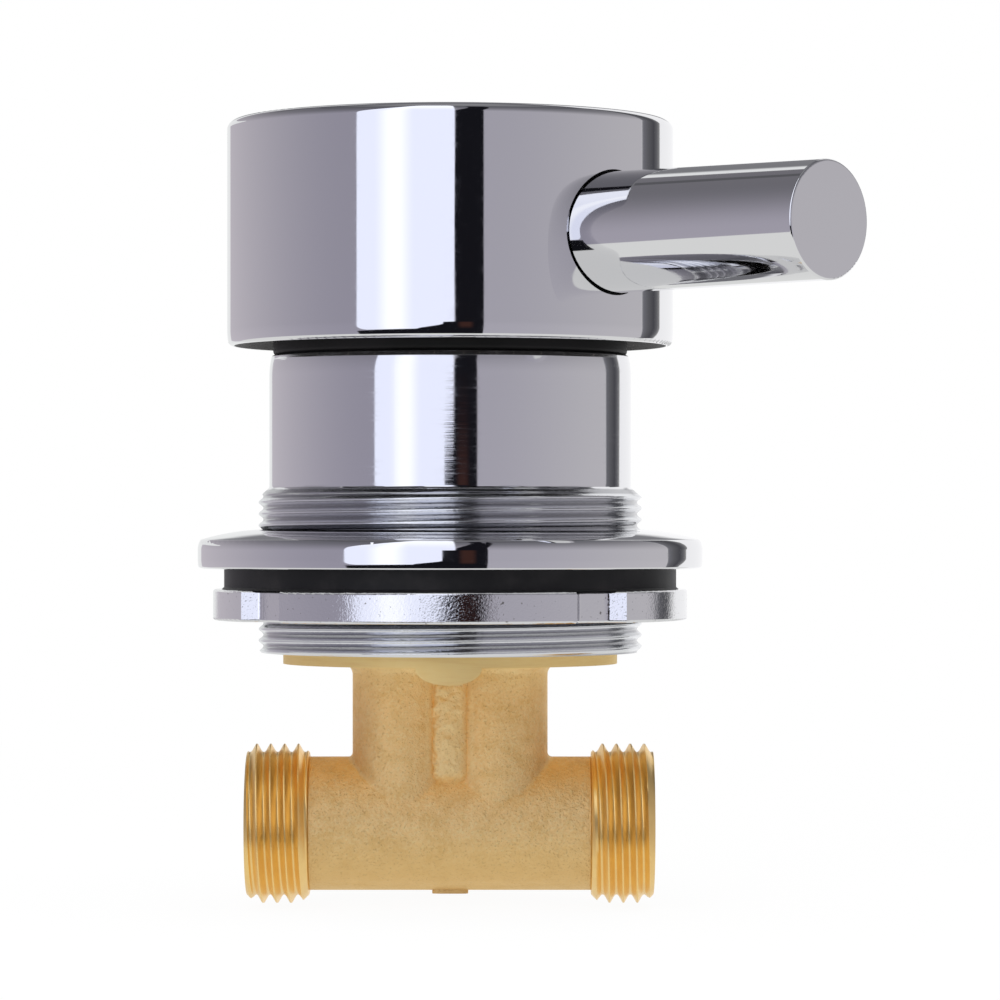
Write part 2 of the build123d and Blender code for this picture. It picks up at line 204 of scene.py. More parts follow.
studioTone = {
    "backLeft": (0.87, 0.88, 0.88, 1),
    "backRight": (1.0, 1.0, 1.01, 1),
    "backAbove": (0.22, 0.22, 0.235, 1),
    "leftWallNear": (0.355, 0.34, 0.41, 1),
    "leftWallFar": (0.58, 0.545, 0.595, 1),
    "rightWallNear": (0.455, 0.44, 0.5, 1),
    "rightWallFar": (0.57, 0.555, 0.585, 1),
    "shadow": (0.11, 0.11, 0.12, 1),
    "softbox": (1.01, 1.05, 1.24, 1),
    "softboxCore": (1.28, 1.31, 1.4, 1),
    "gap": (0.008, 0.008, 0.011, 1),
    "gapBrown": (0.05, 0.022, 0.018, 1),
    "ceiling": (0.11, 0.11, 0.125, 1),
    "topLight": (0.27, 0.27, 0.285, 1),
    "table": (0.79, 0.795, 0.785, 1),
    "plainLight": (0.62, 0.62, 0.63, 1),   # lights what isn't shiny
    "white": (1, 1, 1, 1),
    "strip": [   # across the dark strip, from the wall to the backdrop
        (0.0, (0.3, 0.3, 0.32, 1)), (0.08, (0.17, 0.17, 0.19, 1)), (0.3, (0.12, 0.12, 0.13, 1)),
        (0.62, (0.07, 0.07, 0.08, 1)), (0.82, (0.14, 0.14, 0.15, 1)), (1.0, (0.3, 0.3, 0.3, 1)),
    ],
}

# Angles are in degrees: azimuths from the camera's side towards the right, heights above the
# horizon. Two together are where a change starts and ends, and a band has its softness third.
studio = {
    "wallsMeet": (0, 1),
    "wallDarkens": (-8, 52),
    "wallDarkest": 0.85,          # share of the ceiling's tone at the top of a wall
    "wallBottom": (-19, -18),
    "wallTop": (52, 55),
    "wallEdge": 0.8,
    "leftWallEnd": -157,
    "notch": 26,                  # the left wall ends this much nearer at some heights
    "notchHeights": (8, 14, 2.5),
    "rightWallEnd": 117,
    "backsMeet": (-1, 1),
    "backSides": (-166, 166, 3),  # between these the backdrop stays light above
    "backDarkens": (10, 16),
    "stripEnd": 138,
    "stripTurn": 14,              # the dark strip is this much narrower at its foot
    "stripFoot": (-16, 4),
    "stripEdge": 0.6,
    "shadowBand": (-142, -134, 1.2),
    "shadowHeights": (34, 42),
    "ceilingLightens": (54, 82),
    "softboxLeft": -48,
    "softboxRight": 3,
    "softboxBottom": -11,
    "softboxTop": 72,
    "softboxCorner": 7,           # radius of its rounded corners
    "softboxEdge": (-0.5, 0.3),
    "softboxNarrows": (16, 62),
    "softboxNarrow": 7,
    "coreBand": (-34, -22, 5),
    "coreHeights": (12, 60),
    "coreAbove": 0.8,
    "gapLeft": -48,               # at its foot, from where it turns right as the height rises
    "gapLeftTurns": [(32, -12.2, -10.6), (13, -11, -2), (6, 0.8, 1.9), (9, 8, 52)],
    "gapRight": 17.5,
    "gapRightTurn": 9,
    "gapRightTurns": (12, 60),
    "gapBottom": -26,
    "gapFootEdge": 0.5,
    "gapTop": (58, 64),
    "gapEdge": 0.3,
    "waveScale": 38,              # the gap's left edge is a little wavy
    "waveTurn": 2.2,
    "brownBand": (5.2, 11.6, 1.6),
    "brownFoot": (-12, -4),
    "brownTop": (0.2, 2.2),
}


def roomLook(azimuth, height):
    # two grey walls, darker above, and a light backdrop behind the valve
    left = azimuth.rise(studio["softboxLeft"], studio["leftWallEnd"])
    left = left.mix(studioTone["leftWallNear"], studioTone["leftWallFar"])
    right = azimuth.rise(studio["gapRight"], studio["rightWallEnd"])
    right = right.mix(studioTone["rightWallNear"], studioTone["rightWallFar"])
    wall = azimuth.rise(*studio["wallsMeet"]).mix(left, right)
    darker = height.rise(*studio["wallDarkens"]) * studio["wallDarkest"]
    wall = darker.mix(wall, studioTone["ceiling"])
    back = azimuth.rise(*studio["backsMeet"])
    back = back.mix(studioTone["backLeft"], studioTone["backRight"])
    behind = 1 - azimuth.band(*studio["backSides"])
    back = (height.rise(*studio["backDarkens"]) * behind).mix(back, studioTone["backAbove"])
    notch = height.band(*studio["notchHeights"]) * studio["notch"]
    walled = (azimuth - studio["leftWallEnd"] - notch).edge(0, studio["wallEdge"])
    walled = walled * (1 - azimuth.edge(studio["rightWallEnd"], studio["wallEdge"]))
    return walled.mix(back, wall)


def addStrip(look, azimuth, height):
    # the dark strip at the end of the right wall, and a shadow high on the left wall
    start, soft = studio["rightWallEnd"], studio["stripEdge"]
    end = studio["stripEnd"] - studio["stripTurn"] * (1 - height.rise(*studio["stripFoot"]))
    across = (azimuth - start).maths("DIVIDE", end - start)
    tone = across.add("ShaderNodeValToRGB", {"stops": studioTone["strip"]}, {"Fac": across})
    strip = azimuth.edge(start, soft) * (1 - (azimuth - end).edge(0, soft))
    look = strip.mix(look, tone)
    shadow = azimuth.band(*studio["shadowBand"]) * height.rise(*studio["shadowHeights"])
    return shadow.mix(look, studioTone["shadow"])


def addCeilingAndTable(look, height):
    ceiling = height.rise(*studio["ceilingLightens"])
    ceiling = ceiling.mix(studioTone["ceiling"], studioTone["topLight"])
    look = height.rise(*studio["wallTop"]).mix(look, ceiling)
    below = 1 - height.rise(*studio["wallBottom"])
    return below.mix(look, studioTone["table"])


def addSoftbox(look, azimuth, height):
    # it has a brighter core and rounded corners, and its left edge leans in as it rises
    core = height.rise(*studio["coreHeights"]) * studio["coreAbove"]
    core = azimuth.band(*studio["coreBand"]).maths("MAXIMUM", core)
    tone = core.mix(studioTone["softbox"], studioTone["softboxCore"])
    corner = studio["softboxCorner"]
    middle = (studio["softboxLeft"] + studio["softboxRight"]) / 2
    wide = studio["softboxRight"] - middle - corner
    narrow = height.rise(*studio["softboxNarrows"]) * studio["softboxNarrow"]
    aside = (azimuth - middle - narrow).maths("ABSOLUTE") + narrow - wide
    centre = (studio["softboxBottom"] + studio["softboxTop"]) / 2
    tall = studio["softboxTop"] - centre - corner
    away = (height - centre).maths("ABSOLUTE") - tall
    aside, away = aside.maths("MAXIMUM", 0.0), away.maths("MAXIMUM", 0.0)
    apart = (aside * aside + away * away).maths("SQRT")
    inner, outer = studio["softboxEdge"]
    return (1 - apart.rise(corner + inner, corner + outer)).mix(look, tone)


def addGap(look, towards, azimuth, height):
    # the dark gap beside and below the softbox, where the camera stands
    left, soft = studio["gapLeft"], studio["gapEdge"]
    for turn, start, end in studio["gapLeftTurns"]:
        left = height.rise(start, end) * turn + left
    right = height.rise(*studio["gapRightTurns"]) * studio["gapRightTurn"] + studio["gapRight"]
    wavy = (towards.noise(studio["waveScale"]) - 0.5) * studio["waveTurn"]
    gap = (azimuth - left + wavy).edge(0, soft) * (1 - (azimuth - right).edge(0, soft))
    gap = gap * height.edge(studio["gapBottom"], studio["gapFootEdge"])
    gap = gap * (1 - height.rise(*studio["gapTop"]))
    brown = azimuth.band(*studio["brownBand"]) * height.rise(*studio["brownFoot"])
    brown = brown * (1 - height.rise(*studio["brownTop"]))
    return gap.mix(look, brown.mix(studioTone["gap"], studioTone["gapBrown"]))


def studioWorld():
    world = bpy.data.worlds.new("studio")
    bpy.context.scene.world = world
    world.use_nodes = True
    world.cycles.sampling_method = "NONE"
    world.node_tree.nodes.clear()
    towards = Shade(world.node_tree).add("ShaderNodeTexCoord", output="Generated")
    azimuth = towards.part(0).maths("ARCTAN2", -towards.part(1)) * math.degrees(1)
    height = towards.part(2).maths("ARCSINE") * math.degrees(1)
    look = roomLook(azimuth, height)
    look = addStrip(look, azimuth, height)
    look = addCeilingAndTable(look, height)
    look = addSoftbox(look, azimuth, height)
    look = addGap(look, towards, azimuth, height)

    shiny = towards.add("ShaderNodeLightPath", output="Is Glossy Ray")
    seen = towards.add("ShaderNodeLightPath", output="Is Camera Ray")
    through = towards.add("ShaderNodeLightPath", output="Is Transmission Ray")
    colour = shiny.mix(studioTone["plainLight"], look)
    colour = seen.maths("MAXIMUM", through).mix(colour, studioTone["white"])
    light = towards.add("ShaderNodeBackground", {}, {"Color": colour, "Strength": 1.0})
    towards.add("ShaderNodeOutputWorld", {}, {"Surface": light})


floorPlan = {
    "size": 6.0,
    "gap": 0.6 * mm,
    "colour": (0.9, 0.9, 0.9, 1),
    "glow": 0.95,            # how much of the floor is plain white near the valve
    "fade": (0.12, 0.45),    # and from and to how many metres away it becomes all white
}


def addFloor():
    level = cadBox[0].z - floorPlan["gap"]
    bpy.ops.mesh.primitive_plane_add(size=floorPlan["size"], location=(0, 0, 0))
    floor = bpy.context.object
    floor.name = "floor"
    floor.data.transform(floor.matrix_basis)
    for vertex in floor.data.vertices:
        vertex.co.z = level
    material, place = startMaterial("floorWhite")
    glow = floorPlan["glow"]
    glow = place.length().rise(*floorPlan["fade"]) * (1 - glow) + glow
    matt = place.add("ShaderNodeBsdfDiffuse", {}, {"Color": floorPlan["colour"]})
    shiny = place.add("ShaderNodeLightPath", output="Is Glossy Ray")
    seen = place.add("ShaderNodeLightPath", output="Is Camera Ray")
    colour = shiny.mix(studioTone["white"], studioTone["table"])
    white = place.add("ShaderNodeEmission", {}, {"Color": colour})
    share = seen.maths("MAXIMUM", shiny) * glow
    both = place.add("ShaderNodeMixShader", {}, {0: share, 1: matt, 2: white})
    place.add("ShaderNodeOutputMaterial", {}, {"Surface": both})
    floor.data.materials.append(material)
    floor.visible_glossy = False   # metal sees the world's table instead


lamps = {
    "softbox": {"azimuth": -22, "height": 14, "away": 1.1, "size": 0.8, "watts": 9},
    "ceiling": {"azimuth": 30, "height": 80, "away": 1.2, "size": 1.0, "watts": 8},
}


def addLamps():
    for name, lamp in lamps.items():
        data = bpy.data.lights.new(name, "AREA")
        data.shape = "SQUARE"
        data.size = lamp["size"]
        data.energy = lamp["watts"]
        light = bpy.data.objects.new(name, data)
        turn, lift = math.radians(lamp["azimuth"]), math.radians(lamp["height"])
        level = math.cos(lift)
        towards = Vector((math.sin(turn) * level, -math.cos(turn) * level, math.sin(lift)))
        light.location = towards * lamp["away"]
        light.rotation_euler = towards.to_track_quat("Z", "Y").to_euler()
        light.visible_glossy = False
        light.visible_camera = False
        bpy.context.scene.collection.objects.link(light)


studioWorld()
addFloor()
addLamps()
print("studio lit")


# Finishes. A noise is given by its scale, detail and roughness, a range by where it starts and
# ends, and a height is a bump's, in metres.

chromeTone = {
    "plate": (0.80, 0.80, 0.815, 1),
    "nutPlate": (0.77, 0.77, 0.785, 1),
    "nutPit": (0.3, 0.29, 0.28, 1),
    "turned": (0.79, 0.79, 0.81, 1),
    "thread": (0.76, 0.77, 0.79, 1),
    # painted shade for the roots of the sleeve's thread
    "rootShade": (0.3, 0.3, 0.32, 1),
    # raw casting inside the cap's mouth, painted near-black as shade
    "rawShaded": (0.02, 0.018, 0.018, 1),
    "rawSpeck": (0.16, 0.13, 0.12, 1),
}
buffedFinish = {
    "waves": (110, 1.0, 0.4),
    "waveHeight": 9e-6,
    "haze": (900, 2.0, 0.6),
    "hazeRange": (0.35, 0.7),
    "hazeRough": 0.03,
    "smoothest": 0.03,
}


def buffed(place, waviness=1.0):
    # plating over buffed metal: the normal of its long soft waves, and its roughness, a fine haze
    plan = buffedFinish
    waves = place.noise(*plan["waves"]).bump(plan["waveHeight"] * waviness)
    haze = place.noise(*plan["haze"]).rise(*plan["hazeRange"])
    return waves, haze * plan["hazeRough"] + plan["smoothest"]


def polishedChrome(name, waviness):
    material, place = startMaterial(name)
    waves, haze = buffed(place, waviness)
    return endMaterial(material, place, {
        "Base Color": chromeTone["plate"], "Metallic": 1.0, "Roughness": haze, "Normal": waves,
    })


capFinish = {
    "mouth": (28.14 * mm, 28.22 * mm),   # the radii and levels where the raw inside ends
    "roof": (57 * mm, 57.3 * mm),
    "sand": (2200, 3.0, 0.7),
    "speckRange": (0.6, 0.7),
    "sandHeight": 8e-5,
    "rawRough": 0.45,
    "rawDull": 0.7,
}


def capChrome(name):
    # polished outside; within the mouth raw casting, painted near-black as shade
    plan = capFinish
    material, place = startMaterial(name)
    inside = 1 - place.fromAxis().rise(*plan["mouth"])
    inside = inside * (1 - place.part(2).rise(*plan["roof"]))
    waves, haze = buffed(place)
    sand = place.noise(*plan["sand"])
    rawShaded = sand.rise(*plan["speckRange"]).mix(chromeTone["rawShaded"], chromeTone["rawSpeck"])
    return endMaterial(material, place, {
        "Base Color": inside.mix(chromeTone["plate"], rawShaded),
        "Metallic": 1 - inside * plan["rawDull"], "Roughness": haze + inside * plan["rawRough"],
        "Normal": (sand * inside).bump(plan["sandHeight"], waves),
    })


sleeveFinish = {
    "thread": (23.75 * mm, 24.0 * mm),   # radii
    "rootShade": (24.42 * mm, 24.72 * mm),
    "rootShadeStrength": 0.75,
    "rings": ((30, 30, 5200), 2.0, 0.6),
    "ringHeight": 2.2e-6,
    "chatter": ((900, 900, 2400), 3.0, 0.65),
    "chatterHeight": 2.6e-5,
    "waves": (120, 1.0, 0.4),
    "waveHeight": 7e-6,
    "streaks": ((260, 260, 2600), 3.0, 0.6),
    "streakRange": (0.45, 0.75),
    "streakRough": 0.07,
    "threadRough": 0.12,
    "smoothest": 0.05,
}


def turnedChrome(name):
    # plating over lathe work: level rings and faint rubbed streaks, and a duller thread with
    # painted shade in its roots
    plan = sleeveFinish
    material, place = startMaterial(name)
    thread = place.fromAxis().rise(*plan["thread"])
    # painted shade in the thread's roots
    rootShade = thread * (1 - place.fromAxis().rise(*plan["rootShade"]))
    rings = place.streaks(*plan["rings"])
    rubbed = place.streaks(*plan["streaks"]).rise(*plan["streakRange"])
    chatter = place.streaks(*plan["chatter"]) * thread
    waves = place.noise(*plan["waves"]).bump(plan["waveHeight"])
    colour = thread.mix(chromeTone["turned"], chromeTone["thread"])
    colour = (rootShade * plan["rootShadeStrength"]).mix(colour, chromeTone["rootShade"])
    rough = rubbed * plan["streakRough"] + thread * plan["threadRough"] + plan["smoothest"]
    return endMaterial(material, place, {
        "Base Color": colour, "Metallic": 1.0, "Roughness": rough,
        "Normal": chatter.bump(plan["chatterHeight"], rings.bump(plan["ringHeight"], waves)),
    })


nutFinish = {
    "skin": (420, 2.0, 0.5),
    "skinHeight": 2.0e-5,
    "fine": (3800, 2.0, 0.6),
    "fineShare": 2.2,
    "pits": (2100, 2.0, 0.55),
    "pitRange": (0.67, 0.74),
    "pitDepth": 0.8,
    "fineHeight": 1.0e-5,
    "pitRough": 0.25,
    "smoothest": 0.05,
}


def pittedChrome(name):
    # thin plating over a rough die casting: wavy, with fine pits
    plan = nutFinish
    material, place = startMaterial(name)
    skin = place.noise(*plan["skin"]).bump(plan["skinHeight"])
    pits = place.noise(*plan["pits"]).rise(*plan["pitRange"])
    fine = place.noise(*plan["fine"]) * plan["fineShare"] - pits * plan["pitDepth"]
    return endMaterial(material, place, {
        "Base Color": pits.mix(chromeTone["nutPlate"], chromeTone["nutPit"]), "Metallic": 1.0,
        "Roughness": pits * plan["pitRough"] + plan["smoothest"],
        "Normal": fine.bump(plan["fineHeight"], skin),
    })


brassTone = {
    "cast": (1.0, 0.71, 0.33, 1),
    "castDull": (0.9, 0.61, 0.25, 1),
    # painted shade under the tube
    "castShade": (0.8, 0.55, 0.235, 1),
    # lighter grain, and the painted highlight on the pillar heads and the flash
    "castBrightAndHighlight": (1.0, 0.82, 0.45, 1),
    "castPit": (0.55, 0.34, 0.12, 1),
    "turned": (1.0, 0.77, 0.35, 1),
    "thread": (0.97, 0.68, 0.27, 1),
}
castFinish = {
    "spigot": (-13.0 * mm, -12.7 * mm),
    "portThread": (18.2 * mm, 18.4 * mm),
    "rib": (21.4 * mm, 21.6 * mm),
    "ribFoot": (-18.2 * mm, -18.0 * mm),
    # levels of the painted shade under the tube
    "underside": (-39.5 * mm, -33 * mm),
    "underShadeShare": 0.8,
    # levels and bounds of the painted highlight on the pillar heads and the flash
    "pillarHeadHighlight": (-17.5 * mm, -13 * mm),
    "headHighlightShare": 0.55,
    "flashSides": (-3.1 * mm, 3.1 * mm, 0.3 * mm),
    "flashFront": (-7.3 * mm, -6.6 * mm),
    "flashFoot": (-28 * mm, -26 * mm),
    "flashHighlightShare": 0.45,
    "grain": (2500, 3.0, 0.7),
    "grainRange": (0.42, 0.72),
    "grainShare": 0.55,
    "coarse": (900, 3.0, 0.6),
    "pits": (3600, 2.0, 0.5),
    "pitRange": (0.28, 0.42),
    "pitShare": 0.24,
    "sandShares": (1.2, 1.4, 0.4),       # of grain, coarse grain and pits in the bump
    "sandHeight": 1.1e-4,
    "patches": (420, 4.0, 0.65),
    "patchRange": (0.35, 0.75),
    "threadPatches": 0.5,
    "rings": ((200, 200, 2600), 2.0, 0.6),
    "ringRange": (0.45, 0.75),
    "ringShare": 0.3,
    "ringHeight": 7e-6,
    "rough": 0.36,                       # and what the kinds of surface add to it
    "castRough": 0.2,
    "patchRough": 0.06,
    "threadRough": -0.03,
    "turnedRough": 0.22,
}


def castBrass(name):
    # sand cast, except where it is turned: the spigot, its rib and the three threaded ends
    plan = castFinish
    material, place = startMaterial(name)
    side, depth, level = place.part(0), place.part(1), place.part(2)
    below = 1 - level.rise(*plan["spigot"])
    outward = side.maths("ABSOLUTE").maths("MAXIMUM", depth)
    thread = outward.rise(*plan["portThread"]) * below
    rib = place.fromAxis().rise(*plan["rib"]) * level.rise(*plan["ribFoot"])
    turned = rib.maths("MAXIMUM", 1 - below)
    cast = (1 - turned) * (1 - thread)

    # the sand's grain, pits where grains stuck, dull patches and the lathe's rings
    grain, coarse = place.noise(*plan["grain"]), place.noise(*plan["coarse"])
    pits = 1 - place.noise(*plan["pits"]).rise(*plan["pitRange"])
    patches = place.noise(*plan["patches"]).rise(*plan["patchRange"])
    rings = place.streaks(*plan["rings"])

    # brighter in its hollows: painted highlight on the pillar heads and on the flash between the
    # front pillars; darker under the tube: painted shade
    under = (1 - level.rise(*plan["underside"])) * plan["underShadeShare"]
    headHighlight = level.rise(*plan["pillarHeadHighlight"]) * plan["headHighlightShare"]
    flashHighlight = side.band(*plan["flashSides"]) * level.rise(*plan["flashFoot"])
    flashHighlight = flashHighlight * (1 - depth.rise(*plan["flashFront"])) * plan["flashHighlightShare"]

    colour = patches.mix(brassTone["cast"], brassTone["castDull"])
    bright = grain.rise(*plan["grainRange"]) * plan["grainShare"]
    colour = bright.mix(colour, brassTone["castBrightAndHighlight"])
    # painted shade under the tube
    colour = under.mix(colour, brassTone["castShade"])
    # painted highlight on the pillar heads and the flash
    colour = headHighlight.maths("MAXIMUM", flashHighlight).mix(colour, brassTone["castBrightAndHighlight"])
    colour = (pits * plan["pitShare"]).mix(colour, brassTone["castPit"])
    lathed = rings.rise(*plan["ringRange"]) * plan["ringShare"]
    lathed = lathed.mix(brassTone["turned"], brassTone["castDull"])
    colour = turned.mix(colour, lathed)
    screwed = (patches * plan["threadPatches"]).mix(brassTone["thread"], brassTone["castDull"])
    colour = thread.mix(colour, screwed)

    rough = cast * plan["castRough"] + patches * plan["patchRough"] + plan["rough"]
    rough = rough + thread * plan["threadRough"] + turned * plan["turnedRough"]
    fineShare, coarseShare, pitDepth = plan["sandShares"]
    sand = (grain * fineShare + coarse * coarseShare - pits * pitDepth) * cast
    lathe = (rings * turned).bump(plan["ringHeight"])
    return endMaterial(material, place, {
        "Base Color": colour, "Metallic": 1.0, "Roughness": rough,
        "Normal": sand.bump(plan["sandHeight"], lathe),
    })


turnedFinish = {
    "rings": ((40, 40, 3000), 2.0, 0.6),
    "ringHeight": 6e-6,
    "spots": (400, 3.0, 0.6),
    "spotRange": (0.5, 0.8),
    "spotRough": 0.16,
    "smoothest": 0.24,
}


def turnedBrass(name):
    plan = turnedFinish
    material, place = startMaterial(name)
    rings = place.streaks(*plan["rings"])
    spots = place.noise(*plan["spots"]).rise(*plan["spotRange"])
    return endMaterial(material, place, {
        "Base Color": spots.mix(brassTone["turned"], brassTone["castDull"]), "Metallic": 1.0,
        "Roughness": spots * plan["spotRough"] + plan["smoothest"],
        "Normal": rings.bump(plan["ringHeight"]),
    })


rubberFinish = {
    "black": (0.006, 0.006, 0.007, 1),
    "grey": (0.014, 0.013, 0.014, 1),
    "bloom": (240, 3.0, 0.6),
    "bloomRange": (0.4, 0.8),
    "bloomRough": 0.15,
    "smoothest": 0.42,
    "gloss": 0.22,
    "grain": (3000, 2.0, 0.6),
    "grainHeight": 1.2e-5,
}


def rubber(name):
    # black, with a faint grey bloom
    plan = rubberFinish
    material, place = startMaterial(name)
    bloom = place.noise(*plan["bloom"])
    return endMaterial(material, place, {
        "Base Color": bloom.rise(*plan["bloomRange"]).mix(plan["black"], plan["grey"]),
        "Roughness": bloom * plan["bloomRough"] + plan["smoothest"],
        "Normal": place.noise(*plan["grain"]).bump(plan["grainHeight"]),
        "Specular IOR Level": plan["gloss"],
    })


plasticFinish = {
    "flow": (90, 3.0, 0.5),
    "flowRange": (0.35, 0.75),
    "flowRough": 0.12,
    "grain": (2400, 2.0, 0.5),
    "grainHeight": 8e-6,
}
plastics = {
    "cover": {"tone": (0.006, 0.006, 0.006, 1), "dull": (0.011, 0.01, 0.011, 1),
              "smoothest": 0.5, "gloss": 0.18},
    "cartridge": {"tone": (0.72, 0.72, 0.68, 1), "dull": (0.64, 0.63, 0.59, 1),
                  "smoothest": 0.4, "gloss": 0.5},
    "rotor": {"tone": (0.5, 0.54, 0.57, 1), "dull": (0.42, 0.46, 0.5, 1),
              "smoothest": 0.4, "gloss": 0.5},
}


def mouldedPlastic(name, plastic):
    # the melt's flow leaves soft patches of a second tone
    plan, own = plasticFinish, plastics[plastic]
    material, place = startMaterial(name)
    flow = place.noise(*plan["flow"])
    return endMaterial(material, place, {
        "Base Color": flow.rise(*plan["flowRange"]).mix(own["tone"], own["dull"]),
        "Roughness": flow * plan["flowRough"] + own["smoothest"],
        "Normal": place.noise(*plan["grain"]).bump(plan["grainHeight"]),
        "Specular IOR Level": own["gloss"],
    })


ceramicFinish = {
    "tone": (0.86, 0.84, 0.79, 1),
    "speckTone": (0.76, 0.73, 0.67, 1),
    "specks": (1800, 2.0, 0.6),
    "speckRange": (0.6, 0.8),
    "speckRough": 0.1,
    "smoothest": 0.16,
}


def lappedCeramic(name):
    plan = ceramicFinish
    material, place = startMaterial(name)
    specks = place.noise(*plan["specks"]).rise(*plan["speckRange"])
    return endMaterial(material, place, {
        "Base Color": specks.mix(plan["tone"], plan["speckTone"]),
        "Roughness": specks * plan["speckRough"] + plan["smoothest"],
    })


steelFinish = {
    "tone": (0.62, 0.62, 0.64, 1),
    "lines": (1400, 3.0, 0.6),
    "lineRough": 0.16,
    "lineHeight": 4e-6,
    "smoothest": 0.26,
}


def brightSteel(name):
    plan = steelFinish
    material, place = startMaterial(name)
    lines = place.noise(*plan["lines"])
    return endMaterial(material, place, {
        "Base Color": plan["tone"], "Metallic": 1.0,
        "Roughness": lines * plan["lineRough"] + plan["smoothest"],
        "Normal": lines.bump(plan["lineHeight"]),
    })


finishes = {
    "cap_chrome": capChrome("capChrome"),
    "lever_chrome": polishedChrome("leverChrome", 0.6),
    "flange_chrome": polishedChrome("flangeChrome", 1.2),
    "sleeve_chrome": turnedChrome("sleeveChrome"),
    "nut_chrome": pittedChrome("nutChrome"),
    "casting": castBrass("brassCast"),
    "turned_brass": turnedBrass("brassTurned"),
    "gasket_rubber": rubber("gasketRubber"),
    "seal_rubber": rubber("sealRubber"),
    "cover_plastic": mouldedPlastic("coverPlastic", "cover"),
    "cartridge_plastic": mouldedPlastic("cartridgePlastic", "cartridge"),
    "rotor_plastic": mouldedPlastic("rotorPlastic", "rotor"),
    "ceramic": lappedCeramic("ceramic"),
    "steel": brightSteel("steel"),
}


def dressNodes():
    for part in frame["record"]["subparts"]:
        node = nodes[part["node"]]
        node.data.materials.clear()
        node.data.materials.append(finishes[part["material_slot"]])


dressNodes()
print("finishes made:", len(finishes))


# Tools for all the pieces. Places nearer to each other than these gaps count as one.

sameGap = 0.0001 * mm
cutGap = 0.001 * mm
mergeGap = 0.002 * mm


def activate(piece):
    if bpy.context.mode != "OBJECT":
        bpy.ops.object.mode_set(mode="OBJECT")
    bpy.ops.object.select_all(action="DESELECT")
    piece.select_set(True)
    bpy.context.view_layer.objects.active = piece


def selectPlaces(piece, wanted):
    # in edit mode, selects the vertices whose place passes the test
    activate(piece)
    for group in (piece.data.vertices, piece.data.edges, piece.data.polygons):
        for item in group:
            item.select = False
    for vertex in piece.data.vertices:
        vertex.select = wanted(vertex.co)
    bpy.ops.object.mode_set(mode="EDIT")
    bpy.ops.mesh.select_mode(type="VERT")


def closeUp(piece, smoothAngle):
    # merges doubles, turns the faces outwards and shades the piece smooth
    activate(piece)
    bpy.ops.object.mode_set(mode="EDIT")
    bpy.ops.mesh.select_all(action="SELECT")
    bpy.ops.mesh.remove_doubles(threshold=cutGap)
    bpy.ops.mesh.select_all(action="SELECT")
    bpy.ops.mesh.normals_make_consistent(inside=False)
    bpy.ops.object.mode_set(mode="OBJECT")
    bpy.ops.object.shade_smooth_by_angle(angle=math.radians(smoothAngle))


def copyNode(name, newName):
    # a copy of a CAD node's mesh, with its doubles merged
    source = nodes[name]
    piece = bpy.data.objects.new(newName, source.data.copy())
    bpy.context.scene.collection.objects.link(piece)
    activate(piece)
    bpy.ops.object.mode_set(mode="EDIT")
    bpy.ops.mesh.customdata_custom_splitnormals_clear()
    bpy.ops.mesh.select_all(action="SELECT")
    bpy.ops.mesh.remove_doubles(threshold=mergeGap)
    bpy.ops.object.mode_set(mode="OBJECT")
    return piece


def drawLine(name, points):
    # one vertex, drawn out from point to point
    bpy.ops.object.select_all(action="DESELECT")
    bpy.ops.mesh.primitive_plane_add(size=mm, location=(0, 0, 0))
    piece = bpy.context.object
    piece.name = name
    bpy.ops.object.mode_set(mode="EDIT")
    bpy.ops.mesh.select_mode(type="VERT")
    bpy.ops.mesh.select_all(action="SELECT")
    bpy.ops.mesh.merge(type="CENTER")
    bpy.ops.transform.translate(value=points[0])
    for last, now in zip(points, points[1:]):
        bpy.ops.mesh.extrude_vertices_move(TRANSFORM_OT_translate={"value": now - last})
    bpy.ops.object.mode_set(mode="OBJECT")
    return piece


def pullLoop(points):
    # extrudes the selected loop through points given as radius and level
    for (radius, level), (nextRadius, nextLevel) in zip(points, points[1:]):
        move = (0, 0, nextLevel - level)
        bpy.ops.mesh.extrude_region_move(TRANSFORM_OT_translate={"value": move})
        share = nextRadius / radius
        bpy.ops.transform.resize(value=(share, share, 1), center_override=(0, 0, 0))


# Threads. A thread is drawn for one pitch and wound up by a Screw modifier.

def bothFlanks(half):
    # a thread's outline from its half, given as shares along the pitch and down from the crest
    return [(-along, drop) for along, drop in reversed(half) if along > 0] + half


pipeShape = bothFlanks([
    (0.05, 0.02), (0.1, 0.15), (0.31, 0.76), (0.37, 0.89), (0.43, 0.97), (0.5, 1.0),
])
metricShape = bothFlanks([
    (0.0, 0.0), (0.06, 0.03), (0.12, 0.14), (0.19, 0.34), (0.33, 0.77), (0.42, 0.94), (0.5, 1.0),
])


